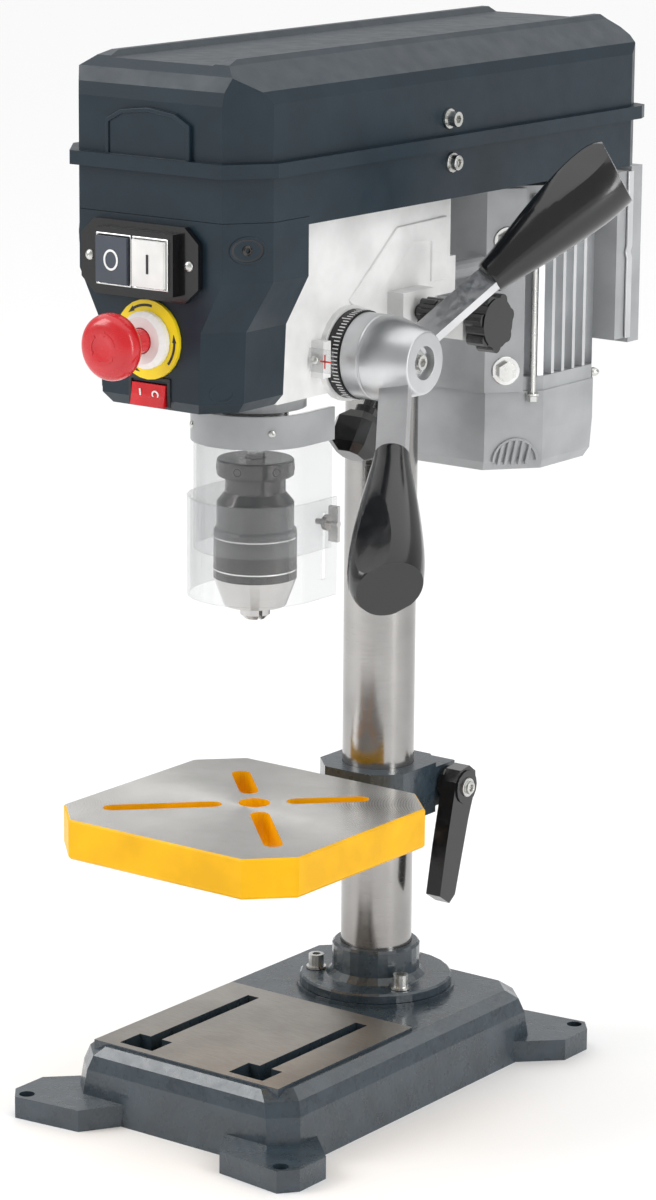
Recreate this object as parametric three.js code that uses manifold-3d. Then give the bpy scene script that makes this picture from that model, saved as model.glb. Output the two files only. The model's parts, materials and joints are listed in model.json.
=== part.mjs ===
// Bench drill press with a belt head, a round column and a tilting table.
// Millimetres. Origin: the column axis where it meets the plane under the base.
// +Z up, the operator stands at -Y, the feed levers are on +X.

import * as THREE from "three";
import { mergeVertices } from "three/addons/utils/BufferGeometryUtils.js";
import Module from "manifold-3d";

const wasm = await Module();
wasm.setup();

// ---- driving dimensions -------------------------------------------------
const GAP = 0.3;

const COLUMN_R = 23;
const COLUMN_BORE_R = 19;
const COLUMN_TOP = 556;

const BASE_HALF_X = 88;
const BASE_FRONT = -212;
const BASE_REAR = 66;
const BASE_TOP = 45;
const PAD_TOP = 46.7;
const BOSS_TOP = 47.2;
const FOOT_X = 99.4;
const FOOT_FRONT = -232.4;
const FOOT_REAR = 85.9;
const FOOT_H = 14;
const SLOT_X = 43;

const FLANGE_BOTTOM = BOSS_TOP + GAP;
const FLANGE_TOP = 53.5;
const FLANGE_R = 49.5;
const FLANGE_COLLAR_R = 28.5;
const FLANGE_COLLAR_TOP = 75;
const FLANGE_BOLT_R = 39;
const FLANGE_BOLT_ANGLES = [-150, -30, 90];

const SPINDLE_Y = -130.3;
const TABLE_TOP = 197.4;
const TABLE_THICK = 25.2;
const TABLE_HALF_X = 91;
const TABLE_FRONT = -229.3;
const TABLE_REAR = -51.6;
const TABLE_CHAMFER = 24.5;
const TILT_Z = 153;
const TILT_DISC_R = 17.5;
const COLLAR_HALF = 33;
const COLLAR_BOTTOM = 163;
const COLLAR_TOP = 196;
const CLAMP_STUD = { y: 29, z: 180 };
const CLAMP_LEVER_LEAN = -15;
const ARM_BOTTOM = 156;
const RING_BOTTOM = 149.6;

const CASTING_HALF_X = 45;
const CASTING_FRONT = -172;
const CASTING_REAR = 8;
const CASTING_BOTTOM = 458;
const CASTING_TOP = 567.7;
const CASTING_BOSS_R = 34;
const HEAD_CLAMP_AT = [32, -54.8, 446];
const HEAD_CLAMP_TILT = 33;

const QUILL_R = 20;
const QUILL_BOTTOM = 428;
const QUILL_TOP = 540;
const SPINDLE_R = 5.9;
const SPINDLE_BODY_R = 9;

const FEED_Y = -99;
const FEED_Z = 480;
const FEED_SHAFT_R = 9;
const DIAL_R = 27;
const DIAL_BACK = 49;
const DIAL_FRONT = 58;
const HUB_R = 26;
const HUB_CONE_START = 72;
const HUB_FACE = 102.5;
const HUB_FACE_R = 18.2;
const LEVER_X = 82;
const LEVER_LEAN = 25.6;
const LEVER_ANGLES = [43.2, 223.2];
const LEVER_WIDTH = 19;
const LEVER_THICK = 5.6;
const GRIP_START = 74;
const GRIP_END = 181;

const TRAY_BOTTOM = 568;
const TRAY_FRONT_BOTTOM = 572.8;
const TRAY_TOP = 598.4;
const COVER_BOTTOM = 598.7;
const COVER_RIM_TOP = 606.9;
const COVER_TOP = 664;
const HOUSING_WALL = 3.6;
const HOUSING_REAR = 184;

const BOX_FRONT = -231;
const BOX_REAR = -172.9;
const ESTOP_Z = 501;

const MOTOR_Y = 120;
const MOTOR_HALF_X = 61.6;
const MOTOR_HALF_Y = 59;
const MOTOR_CHAMFER_X = 24.6;
const MOTOR_CHAMFER_Y = 30;
const MOTOR_BOTTOM = 380;
const MOTOR_LOWER_CAP_TOP = 440.7;
const MOTOR_UPPER_CAP_BOTTOM = 541;
const MOTOR_TOP = 563;
const WING_ANGLE = 50.6;
const WING_BOLT_HEIGHTS = [446, 529];

const PULLEY_STEPS = [42, 34, 26];
const PULLEY_STEP_H = 15;
const PULLEY_BOTTOM = 582;

const GUARD_BACK = 27;
const GUARD_PIVOT_X = -42.5;
const GUARD_PIVOT_Y = 25;
const GUARD_SCREW = { y: 15, z: 378 };

// ---- materials ----------------------------------------------------------
function material(color, roughness, metalness, opacity = 1) {
  const transparent = opacity < 1;
  return new THREE.MeshStandardMaterial({ color, roughness, metalness, opacity, transparent });
}

const hammeredBlue = material(0x3c4a55, 0.4, 0.2);
const housingBlue = material(0x2c3a44, 0.35, 0.1);
const castingWhite = material(0xdedede, 0.45, 0.0);
const groundSteel = material(0x9a9a98, 0.28, 1.0);
const darkSteel = material(0x3a3a3a, 0.3, 1.0);
const brightSteel = material(0xc8c8c6, 0.2, 1.0);
const satinAluminium = material(0xb6b8ba, 0.35, 0.9);
const greyPaint = material(0x9ea1a3, 0.45, 0.2);
const yellowPaint = material(0xf5ab0a, 0.35, 0.0);
const blackPlastic = material(0x111214, 0.25, 0.0);
const darkPlastic = material(0x303438, 0.45, 0.0);
const palePlastic = material(0xe8e8e4, 0.4, 0.0);
const yellowPlastic = material(0xf2d50c, 0.4, 0.0);
const redPlastic = material(0xc8161d, 0.3, 0.0);
const beltRubber = material(0x1a1a1a, 0.8, 0.0);
const clearPlastic = material(0xe6eaec, 0.05, 0.0, 0.25);

// ---- closed solids ------------------------------------------------------
function toSolid(geometry) {
  const bare = geometry.clone();
  bare.deleteAttribute("normal");
  bare.deleteAttribute("uv");
  const merged = mergeVertices(bare, 1e-4);
  const vertProperties = new Float32Array(merged.attributes.position.array);
  const triVerts = new Uint32Array(merged.index.array);
  return new wasm.Manifold(new wasm.Mesh({ numProp: 3, vertProperties, triVerts }));
}

function toGeometry(solid) {
  const cut = solid.getMesh();
  const geometry = new THREE.BufferGeometry();
  geometry.setAttribute("position", new THREE.BufferAttribute(new Float32Array(cut.vertProperties), 3));
  geometry.setIndex(new THREE.BufferAttribute(new Uint32Array(cut.triVerts), 1));
  geometry.computeVertexNormals();
  return geometry;
}

function join(...solids) {
  return solids.reduce((whole, piece) => whole.add(piece));
}

function box(x0, x1, y0, y1, z0, z1) {
  const geometry = new THREE.BoxGeometry(x1 - x0, y1 - y0, z1 - z0);
  geometry.translate((x0 + x1) / 2, (y0 + y1) / 2, (z0 + z1) / 2);
  return toSolid(geometry);
}

function outline(points) {
  return new THREE.Shape(points.map(([a, b]) => new THREE.Vector2(a, b)));
}

function extrude(shape, depth) {
  return new THREE.ExtrudeGeometry(shape, { depth, bevelEnabled: false, curveSegments: 12 });
}

// A plan outline in X and Y, raised along Z.
function prismZ(points, z0, z1) {
  const geometry = extrude(outline(points), z1 - z0);
  geometry.translate(0, 0, z0);
  return toSolid(geometry);
}

// A side outline in Y and Z, stretched along X.
function prismX(points, x0, x1) {
  const geometry = extrude(outline(points), x1 - x0);
  geometry.rotateY(Math.PI / 2);
  geometry.rotateX(Math.PI / 2);
  geometry.translate(x0, 0, 0);
  return toSolid(geometry);
}

// A front outline in X and Z, stretched along Y.
function prismY(points, y0, y1) {
  const geometry = extrude(outline(points), y1 - y0);
  geometry.rotateX(Math.PI / 2);
  geometry.translate(0, y1, 0);
  return toSolid(geometry);
}

// Rings of equal count, lowest first, each a list of [x, y] at its own z.
function loft(rings) {
  const count = rings[0].points.length;
  const corners = rings.flatMap(({ z, points }) => points.map(([x, y]) => [x, y, z]));
  const bottomCap = outline(rings[0].points);
  const faces = [];
  const capFaces = THREE.ShapeUtils.triangulateShape(bottomCap.getPoints(), []);
  const top = (rings.length - 1) * count;
  for (const [a, b, c] of capFaces) {
    faces.push(a, c, b);
    faces.push(top + a, top + b, top + c);
  }
  for (let level = 0; level < rings.length - 1; level += 1) {
    for (let i = 0; i < count; i += 1) {
      const a = level * count + i;
      const b = level * count + ((i + 1) % count);
      faces.push(a, b, b + count);
      faces.push(a, b + count, a + count);
    }
  }
  const geometry = new THREE.BufferGeometry();
  geometry.setAttribute("position", new THREE.Float32BufferAttribute(corners.flat(), 3));
  geometry.setIndex(faces);
  return toSolid(geometry);
}

// A profile of [radius, height] turned about +Z.
function lathe(profile, segments = 24) {
  const points = profile.map(([r, z]) => new THREE.Vector2(r, z));
  const geometry = new THREE.LatheGeometry(points, segments);
  geometry.rotateX(Math.PI / 2);
  return toSolid(geometry);
}

function rod(radius, z0, z1, segments = 16) {
  return lathe([[0, z0], [radius, z0], [radius, z1], [0, z1]], segments);
}

function ring(outer, inner, z0, z1, segments = 24) {
  return lathe([[inner, z0], [outer, z0], [outer, z1], [inner, z1], [inner, z0]], segments);
}

function alongX(solid) {
  return solid.rotate([0, 90, 0]);
}

function alongY(solid) {
  return solid.rotate([-90, 0, 0]);
}

function chamferedOutline(x0, x1, y0, y1, cx, cy) {
  return [
    [x0 + cx, y0], [x1 - cx, y0], [x1, y0 + cy], [x1, y1 - cy],
    [x1 - cx, y1], [x0 + cx, y1], [x0, y1 - cy], [x0, y0 + cy],
  ];
}

function hexSocket(acrossFlats, z0, z1) {
  return rod(acrossFlats / Math.sqrt(3), z0, z1, 6);
}

// Socket screw standing on z = 0, its shank going down.
function socketScrew(headR, headH, shankR, shankLength) {
  const washerR = headR * 1.32;
  const profile = [
    [0, -shankLength], [shankR, -shankLength], [shankR, 0], [washerR, 0],
    [washerR, 1.4], [headR, 1.4], [headR, headH + 1.4], [0, headH + 1.4],
  ];
  return lathe(profile, 14).subtract(hexSocket(headR, headH - 2, headH + 3));
}

function hexBolt(acrossFlats, headH, shankR, shankLength) {
  const head = hexSocket(acrossFlats, 0, headH);
  const washer = rod(acrossFlats * 0.62, 0, 1.2, 14);
  return join(head, washer, rod(shankR, -shankLength, 0.5, 12));
}

// ---- meshes and groups --------------------------------------------------
const drillPress = new THREE.Group();

function addTo(parent, name, solid, look) {
  const mesh = new THREE.Mesh(toGeometry(solid), look);
  mesh.name = name;
  parent.add(mesh);
  return mesh;
}

function add(name, solid, look) {
  return addTo(drillPress, name, solid, look);
}

function groupAt(x, y, z) {
  const group = new THREE.Group();
  group.position.set(x, y, z);
  drillPress.add(group);
  return group;
}

// ---- base ---------------------------------------------------------------
function basePlan(halfX, front, rear, chamfer) {
  return chamferedOutline(-halfX, halfX, front, rear, chamfer, chamfer);
}

function baseBody() {
  return loft([
    { z: 0, points: basePlan(BASE_HALF_X, BASE_FRONT, BASE_REAR, 14) },
    { z: 30, points: basePlan(85, -209, 63, 15) },
    { z: 39, points: basePlan(82, -206.5, 60.5, 15) },
    { z: BASE_TOP, points: basePlan(75, -202, 53, 14) },
  ]);
}

function baseFoot(side, y, out) {
  const foot = [
    [side * (FOOT_X - 44), y + out * 3],
    [side * (FOOT_X + 3), y + out * 8],
    [side * (FOOT_X + 12), y - out * 3],
    [side * (FOOT_X + 12), y - out * 29],
    [side * (FOOT_X - 22), y - out * 62],
    [side * (FOOT_X - 60), y - out * 22],
  ];
  const points = side * out > 0 ? foot.reverse() : foot;
  return prismZ(points, 0, FOOT_H);
}

function baseSlot(side) {
  const narrow = box(-4.5, 4.5, -176, -74.5, 28, 60);
  const mouth = box(-13, 13, -194, -174, 28, 60);
  return join(narrow, mouth).translate([side * SLOT_X, 0, 0]);
}

function basePockets() {
  const spansX = [[-77, -25], [-19, -6], [6, 19], [25, 77]];
  const spansY = [[-199, -146], [-140, -80], [-74, -9], [9, 52]];
  const pockets = spansX.flatMap(([x0, x1]) => spansY.map(([y0, y1]) => box(x0, x1, y0, y1, -5, 33)));
  return join(...pockets);
}

function buildBase() {
  const pad = prismZ([[-72, -199.5], [72, -199.5], [72, -60], [-72, -60]], 40, PAD_TOP);
  const boss = rod(51.5, 40, BOSS_TOP, 28);
  let base = join(baseBody(), pad, boss);
  for (const side of [-1, 1]) {
    base = base.add(baseFoot(side, FOOT_FRONT, -1));
    base = base.add(baseFoot(side, FOOT_REAR, 1));
  }
  base = base.subtract(basePockets());
  for (const side of [-1, 1]) {
    base = base.subtract(baseSlot(side));
    for (const y of [FOOT_FRONT, FOOT_REAR]) {
      base = base.subtract(rod(5, -5, 20, 14).translate([side * FOOT_X, y, 0]));
    }
  }
  for (const angle of FLANGE_BOLT_ANGLES) {
    base = base.subtract(rod(3.4, 25, 60, 12).translate(polar(FLANGE_BOLT_R, angle, 0)));
  }
  add("base_casting", base, hammeredBlue);
}

function polar(radius, degrees, z) {
  const angle = THREE.MathUtils.degToRad(degrees);
  return [radius * Math.cos(angle), radius * Math.sin(angle), z];
}

function buildColumn() {
  const bore = COLUMN_R + GAP;
  let flange = lathe([
    [bore, FLANGE_BOTTOM], [FLANGE_R, FLANGE_BOTTOM],
    [FLANGE_R, FLANGE_TOP - 1.2], [FLANGE_R - 1.2, FLANGE_TOP],
    [FLANGE_COLLAR_R + 4, FLANGE_TOP], [FLANGE_COLLAR_R, FLANGE_TOP + 4],
    [FLANGE_COLLAR_R, FLANGE_COLLAR_TOP - 1.5], [FLANGE_COLLAR_R - 1.5, FLANGE_COLLAR_TOP],
    [bore, FLANGE_COLLAR_TOP], [bore, FLANGE_BOTTOM],
  ], 28);
  for (const angle of FLANGE_BOLT_ANGLES) {
    flange = flange.subtract(rod(3.4, 40, 60, 12).translate(polar(FLANGE_BOLT_R, angle, 0)));
  }
  add("column_flange", flange, hammeredBlue);
  FLANGE_BOLT_ANGLES.forEach((angle, index) => {
    const bolt = socketScrew(5, 8, 3, 16).translate(polar(FLANGE_BOLT_R, angle, FLANGE_TOP + GAP));
    add(`flange_bolt_${index + 1}`, bolt, brightSteel);
  });
  add("column_tube", ring(COLUMN_R, COLUMN_BORE_R, FLANGE_BOTTOM, COLUMN_TOP, 28), groundSteel);
}

// ---- table --------------------------------------------------------------
function tableSlot(angle, from, to) {
  const width = 12;
  const start = rod(width / 2, -50, 50, 12).translate([from, 0, 0]);
  const end = rod(width / 2, -50, 50, 12).translate([to, 0, 0]);
  const middle = box(from, to, -width / 2, width / 2, -50, 50);
  return join(start, middle, end).rotate([0, 0, angle]);
}

function tableSlots() {
  const rear = [tableSlot(45, 26, 66), tableSlot(135, 26, 66)];
  const front = [tableSlot(-45, 26, 88), tableSlot(-135, 26, 88)];
  return join(...rear, ...front).translate([0, SPINDLE_Y, TABLE_TOP]);
}

function buildTable() {
  const low = TABLE_TOP - TABLE_THICK;
  const plan = (inset) => {
    const reach = TABLE_HALF_X - inset;
    const chamfer = TABLE_CHAMFER - inset * 0.6;
    return chamferedOutline(-reach, reach, TABLE_FRONT + inset, TABLE_REAR - inset, chamfer, chamfer);
  };
  let table = loft([
    { z: low, points: plan(1.6) },
    { z: low + 1.6, points: plan(0) },
    { z: TABLE_TOP - 1.2, points: plan(0) },
    { z: TABLE_TOP, points: plan(1.2) },
  ]);
  const lug = alongY(rod(TILT_DISC_R, 0, 17, 20)).translate([0, -80, TILT_Z]);
  const web = box(-16, 16, -80, -63, TILT_Z, low + 4);
  table = join(table, lug, web);
  table = table.subtract(tableSlots()).subtract(rod(10, low - 5, TABLE_TOP + 5).translate([0, SPINDLE_Y, 0]));
  table = table.subtract(alongY(rod(5.3, -10, 40, 12)).translate([0, -80, TILT_Z]));
  add("table_plate", table, yellowPaint);
}

function octagon(half, cut) {
  return chamferedOutline(-half, half, -half, half, cut, cut);
}

function buildTableArm() {
  const collar = prismZ(octagon(COLLAR_HALF, 15), COLLAR_BOTTOM, COLLAR_TOP);
  const lowerCollar = rod(31, ARM_BOTTOM, COLLAR_BOTTOM + 1, 20);
  const block = join(box(-16, 16, -50, -31.5, 146, 169), box(-16, 16, -33, -20, 157, 169));
  const disc = alongY(rod(TILT_DISC_R, 0, 30, 20)).translate([0, -62.7, TILT_Z]);
  const lugs = box(-COLLAR_HALF, COLLAR_HALF, 14, CLAMP_STUD.y + 10, CLAMP_STUD.z - 13, CLAMP_STUD.z + 13);
  let arm = join(collar, lowerCollar, block, disc, lugs);
  arm = arm.subtract(rod(COLUMN_R + GAP, 100, 220, 28));
  arm = arm.subtract(box(-2, 2, 15, 60, 100, 220));
  arm = arm.subtract(alongX(rod(5.3, -60, 60, 12)).translate([0, CLAMP_STUD.y, CLAMP_STUD.z]));
  arm = arm.subtract(alongY(rod(5.3, -10, 24, 12)).translate([0, -62.7, TILT_Z]));
  add("table_arm", arm, hammeredBlue);
  add("table_ring", ring(31, COLUMN_R + GAP, RING_BOTTOM, ARM_BOTTOM - GAP, 28), brightSteel);

  const bolt = hexBolt(17, 7, 5, 32).rotate([90, 0, 0]).translate([0, -80.3, TILT_Z]);
  add("table_tilt_bolt", bolt, brightSteel);
}

function buildClampLever() {
  const group = groupAt(0, CLAMP_STUD.y, CLAMP_STUD.z);
  const stud = join(rod(5, -40, 40, 14), rod(8, -41, -33.3, 6));
  addTo(group, "table_clamp_stud", alongX(stud), brightSteel);
  const arm = [
    [0, 14], [8, 11], [11, 2], [9, -20], [8, -70], [3, -76],
    [-9, -72], [-11, -40], [-12, 2], [-9, 10],
  ];
  const lever = prismX(arm, 38, 49).rotate([CLAMP_LEVER_LEAN, 0, 0]);
  const boss = alongX(rod(11, 34, 50, 16));
  const whole = join(lever, boss).subtract(alongX(rod(5.3, 30, 42, 14)));
  addTo(group, "table_clamp_lever", whole, blackPlastic);
}

// ---- head ---------------------------------------------------------------
function castingSide() {
  return [
    [CASTING_FRONT, CASTING_TOP], [CASTING_FRONT, CASTING_BOTTOM + 4], [CASTING_FRONT + 4, CASTING_BOTTOM],
    [-112, CASTING_BOTTOM], [-96, 461], [-30, 461], [-18, 505], [-8, 514], [CASTING_REAR, 514],
    [CASTING_REAR, CASTING_TOP],
  ];
}

function buildCasting() {
  const side = prismX(castingSide(), -CASTING_HALF_X, CASTING_HALF_X);
  const columnBoss = rod(CASTING_BOSS_R, 452, CASTING_TOP, 28);
  const web = box(-24, 24, -110, 0, CASTING_BOTTOM, 520);
  const feedBoss = alongX(rod(29, 44, 48.5, 24)).translate([0, FEED_Y, FEED_Z]);
  const springBoss = alongX(rod(24, -48, -44, 20)).translate([0, FEED_Y, FEED_Z + 2.5]);
  const pointerLug = box(43, 54, FEED_Y - 36, FEED_Y - 28.5, 470, 492);
  const headLockBoss = box(30, 57, -58, -26, 488, 512);
  const motorLug = box(14, 54, 10, 32, 474, 496);
  const rodHousing = box(-CASTING_HALF_X, CASTING_HALF_X, -20, 14, 503, 526);
  const bosses = [columnBoss, feedBoss, springBoss, pointerLug, headLockBoss, motorLug];
  let casting = join(side, web, rodHousing, ...bosses);
  casting = casting.subtract(rod(COLUMN_R + GAP, 440, 557, 28));
  casting = casting.subtract(rod(SPINDLE_BODY_R + 2, 500, 580).translate([0, SPINDLE_Y, 0]));
  casting = casting.subtract(rod(QUILL_R + GAP, 440, 549, 28).translate([0, SPINDLE_Y, 0]));
  casting = casting.subtract(alongX(rod(FEED_SHAFT_R + GAP, -60, 60)).translate([0, FEED_Y, FEED_Z]));
  for (const sideX of [-1, 1]) {
    casting = casting.subtract(alongY(rod(6.3, -60, 0, 14)).translate([sideX * 35, 40, 514]));
  }
  casting = casting.subtract(alongX(rod(4.3, 40, 70, 12)).translate([0, -42, 499]));
  casting = casting.subtract(alongX(rod(4.3, 40, 70, 12)).translate([0, 22, 485]));
  casting = casting.subtract(headClampStud(3.9, 36).translate(HEAD_CLAMP_AT));
  add("head_casting", casting, castingWhite);
}

function headClampStud(radius, length) {
  return rod(radius, -10, length, 12).rotate([-HEAD_CLAMP_TILT, 0, 0]);
}

function buildHeadKnobs() {
  const group = groupAt(...HEAD_CLAMP_AT);
  const head = loft([
    { z: -41, points: octagon(8, 4) },
    { z: -36, points: octagon(13.5, 5) },
    { z: -20, points: octagon(13.5, 5) },
    { z: -14, points: octagon(9, 4) },
  ]);
  const knob = join(head, rod(7, -15, -9, 14), rod(3.6, -10, 34, 12));
  addTo(group, "head_clamp_knob", knob.rotate([-HEAD_CLAMP_TILT, 0, 0]), blackPlastic);
  addTo(groupAt(0, -42, 499), "tension_knob", starKnob(10, 16, 57.5), blackPlastic);
  addTo(groupAt(0, 22, 485), "motor_lock_knob", starKnob(19, 18, 54.5), blackPlastic);
}

// A lobed knob on a stud, turned about X, its inner face at x = from.
function starKnob(radius, width, from) {
  let knob = rod(radius * 0.84, from + 4, from + width, 20);
  for (let i = 0; i < 7; i += 1) {
    const centre = polar(radius * 0.76, (i * 360) / 7, 0);
    knob = knob.add(rod(radius * 0.24, from + 4.5, from + width - 0.8, 12).translate(centre));
  }
  knob = join(knob, rod(radius * 0.5, from + GAP, from + 6, 14), rod(4, from - 11, from + 1, 12));
  return alongX(knob);
}

// ---- quill, spindle and chuck -------------------------------------------
function buildQuill() {
  let quill = ring(QUILL_R, SPINDLE_BODY_R + GAP, QUILL_BOTTOM, QUILL_TOP, 26);
  quill = quill.subtract(box(-7, 7, 14, 30, QUILL_BOTTOM + 12, QUILL_TOP + 5));
  for (let i = 0; i < 12; i += 1) {
    const z = QUILL_BOTTOM + 18 + i * 7.5;
    quill = quill.subtract(box(-7.5, 7.5, 12.6, 30, z, z + 3.7));
  }
  add("quill", quill.translate([0, SPINDLE_Y, 0]), brightSteel);

  const spindle = lathe([
    [0, 394], [SPINDLE_R - 0.8, 394], [SPINDLE_R, 422], [SPINDLE_R, 427], [SPINDLE_BODY_R, 427.4],
    [SPINDLE_BODY_R, 545], [7, 546], [7, 652], [0, 652],
  ], 16);
  add("spindle", spindle.translate([0, SPINDLE_Y, 0]), brightSteel);
}

function chuckBodySolid() {
  const outer = lathe([
    [0, 345], [18.6, 345], [18.6, 372.2], [23.7, 372.2], [23.7, 388.1], [18.5, 394.4],
    [18.5, 403.6], [22.6, 404.2], [23.6, 405.2], [23.6, 414], [22.6, 415], [0, 415],
  ]);
  const seat = rod(SPINDLE_R + GAP, 392, 420, 16);
  const jawSpace = rod(13, 330, 380, 24);
  return outer.subtract(seat).subtract(jawSpace);
}

function buildChuck() {
  const group = groupAt(0, SPINDLE_Y, 0);
  addTo(group, "chuck_body", chuckBodySolid(), darkSteel);
  const sleeve = lathe([
    [13, 324], [19.2, 324], [25.6, 341.4], [25.6, 370.6], [24.9, 371.6], [18.9, 371.6], [18.9, 344.6],
    [13, 344.6], [13, 324],
  ]);
  addTo(group, "chuck_sleeve", sleeve, brightSteel);
  for (let i = 0; i < 3; i += 1) {
    const half = Math.PI / 3 - 0.12;
    const wedge = [[0.8, 0]];
    for (let step = 0; step <= 6; step += 1) {
      const angle = -half + (step / 6) * 2 * half;
      wedge.push([9.2 * Math.cos(angle), 9.2 * Math.sin(angle)]);
    }
    const jaw = prismZ(wedge, 315.3, 360).intersect(rod(9.2, 318, 360, 20).add(lathe(
      [[0, 315.3], [6.4, 315.3], [9.2, 318.3], [0, 318.3]], 40,
    )));
    const joined = jaw.subtract(rod(1.2, 300, 380, 12));
    addTo(group, `chuck_jaw_${i + 1}`, joined.rotate([0, 0, 30 + 120 * i]), brightSteel);
  }
}

// ---- feed ---------------------------------------------------------------
function leverFrame(angle) {
  const group = new THREE.Matrix4().makeRotationX(THREE.MathUtils.degToRad(angle));
  const lean = new THREE.Matrix4().makeRotationZ(-THREE.MathUtils.degToRad(LEVER_LEAN));
  const place = new THREE.Matrix4().makeTranslation(LEVER_X, FEED_Y, FEED_Z);
  return place.multiply(group).multiply(lean);
}

// Solids drawn with the lever along +Y, its width along X, moved onto the hub.
function onLever(solid, angle) {
  return solid.transform(leverFrame(angle).toArray());
}

function leverBar(clearance) {
  const width = LEVER_WIDTH / 2 + clearance;
  const thick = LEVER_THICK / 2 + clearance;
  return box(-width, width, 13 - clearance, GRIP_START + 26 + clearance, -thick, thick);
}

function gripSolid() {
  const profile = [
    [0, GRIP_START], [9.6, GRIP_START], [10.8, GRIP_START + 2], [12.6, 88], [15.6, 104], [18.6, 124],
    [20.6, 144], [21.6, 160], [21.6, 170], [20.2, 178], [17, GRIP_END], [0, GRIP_END],
  ];
  const body = alongY(lathe(profile, 20));
  const slant = box(-60, 60, 0, 40, -60, 60).rotate([0, 0, -20]).translate([0, GRIP_END - 5, 0]);
  return body.subtract(slant).subtract(leverBar(GAP));
}

function buildFeed() {
  const shaft = alongX(join(rod(FEED_SHAFT_R, -46, HUB_FACE - 22, 16), rod(7, -56, -45, 14)));
  add("feed_shaft", shaft.translate([0, FEED_Y, FEED_Z]).subtract(rackClearance()), brightSteel);

  const dial = ring(DIAL_R, FEED_SHAFT_R + GAP, DIAL_BACK, DIAL_FRONT, 36);
  addTo(groupAt(0, FEED_Y, FEED_Z), "depth_dial", alongX(dial), blackPlastic);

  let hub = lathe([
    [FEED_SHAFT_R + GAP, DIAL_FRONT + GAP], [HUB_R, DIAL_FRONT + GAP], [HUB_R, 70.5], [HUB_R - 0.8, 71],
    [HUB_R - 0.8, HUB_CONE_START], [HUB_R + 0.2, HUB_CONE_START + 0.5], [HUB_R - 0.4, 80],
    [HUB_FACE_R + 1, HUB_FACE - 1], [HUB_FACE_R, HUB_FACE], [10, HUB_FACE], [10, HUB_FACE - 7],
    [4.6, HUB_FACE - 7], [4.6, HUB_FACE - 21],
    [FEED_SHAFT_R + GAP, HUB_FACE - 21], [FEED_SHAFT_R + GAP, DIAL_FRONT + GAP],
  ], 26);
  hub = alongX(hub).translate([0, FEED_Y, FEED_Z]);
  for (const angle of LEVER_ANGLES) {
    hub = hub.subtract(onLever(leverBar(GAP), angle));
  }
  add("feed_hub", hub, satinAluminium);

  const washer = rod(7.5, HUB_FACE - 6.7, HUB_FACE - 5.4, 14);
  const screw = join(washer, rod(4.6, HUB_FACE - 6, HUB_FACE - 1.6, 14));
  const shank = rod(4, HUB_FACE - 21, HUB_FACE - 6, 12);
  const hubScrew = join(screw, shank).subtract(hexSocket(5, HUB_FACE - 4, HUB_FACE + 2));
  addTo(groupAt(0, FEED_Y, FEED_Z), "hub_screw", alongX(hubScrew), brightSteel);

  LEVER_ANGLES.forEach((angle, index) => {
    add(`feed_lever_${index + 1}`, onLever(leverBar(0), angle), satinAluminium);
    add(`feed_grip_${index + 1}`, onLever(gripSolid(), angle), blackPlastic);
  });

  const springCap = ring(24, 7.4, -64, -48.6, 24).add(rod(24, -66, -60, 24));
  addTo(groupAt(0, FEED_Y, FEED_Z), "return_spring_cap", alongX(springCap), darkPlastic);

  const pointer = box(45.6, 62, FEED_Y - 38.3, FEED_Y - 36 - GAP, 474, 488);
  add("depth_pointer", pointer, clearPlastic);
}

function rackClearance() {
  return rod(QUILL_R + 0.6, 440, 550, 24).translate([0, SPINDLE_Y, 0]);
}

// ---- switch box ---------------------------------------------------------
function boxRing(z, frontHalf, sideHalf, front, corner) {
  const points = [
    [-frontHalf, front], [frontHalf, front], [sideHalf, corner], [sideHalf, BOX_REAR],
    [-sideHalf, BOX_REAR], [-sideHalf, corner],
  ];
  return { z, points };
}

function buildSwitchBox() {
  let housing = loft([
    boxRing(459.5, 32, 47, -226, -208),
    boxRing(466, 36, 53, BOX_FRONT, -210.5),
    boxRing(508, 37.5, 55, BOX_FRONT, -211),
    boxRing(538, 52.9, 71.2, BOX_FRONT, -206.6),
    boxRing(TRAY_FRONT_BOTTOM - GAP, 52.9, 71.2, BOX_FRONT, -206.6),
  ]);
  housing = housing.subtract(box(-33, 24, BOX_FRONT - 1, BOX_FRONT + 12, 529, 565));
  housing = housing.subtract(alongY(rod(8, -5, 20, 16)).translate([0, BOX_FRONT, ESTOP_Z]));
  housing = housing.subtract(box(-13, 13, BOX_FRONT - 1, BOX_FRONT + 14, 461, 475.6));
  add("switch_box", housing, housingBlue);

  const hex = [[-38, 525], [29, 525], [39, 534], [39, 560], [29, 569], [-38, 569], [-48, 560], [-48, 534]];
  let plate = prismY(hex, BOX_FRONT - 4.3, BOX_FRONT - GAP);
  plate = plate.add(box(-34, 25, BOX_FRONT - 10, BOX_FRONT - 3, 529, 565));
  for (const x of [-30, -3]) {
    plate = plate.subtract(box(x, x + 24, BOX_FRONT - 20, BOX_FRONT + 5, 533, 561));
  }
  add("switch_plate", plate, blackPlastic);
  addButton("stop_button", -18, darkPlastic);
  addButton("start_button", 9, palePlastic);
}

function addButton(name, x, look) {
  const cap = box(x - 11.6, x + 11.6, BOX_FRONT - 13.5, BOX_FRONT + 6, 533.4, 560.6);
  add(name, cap, look);
}

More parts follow.
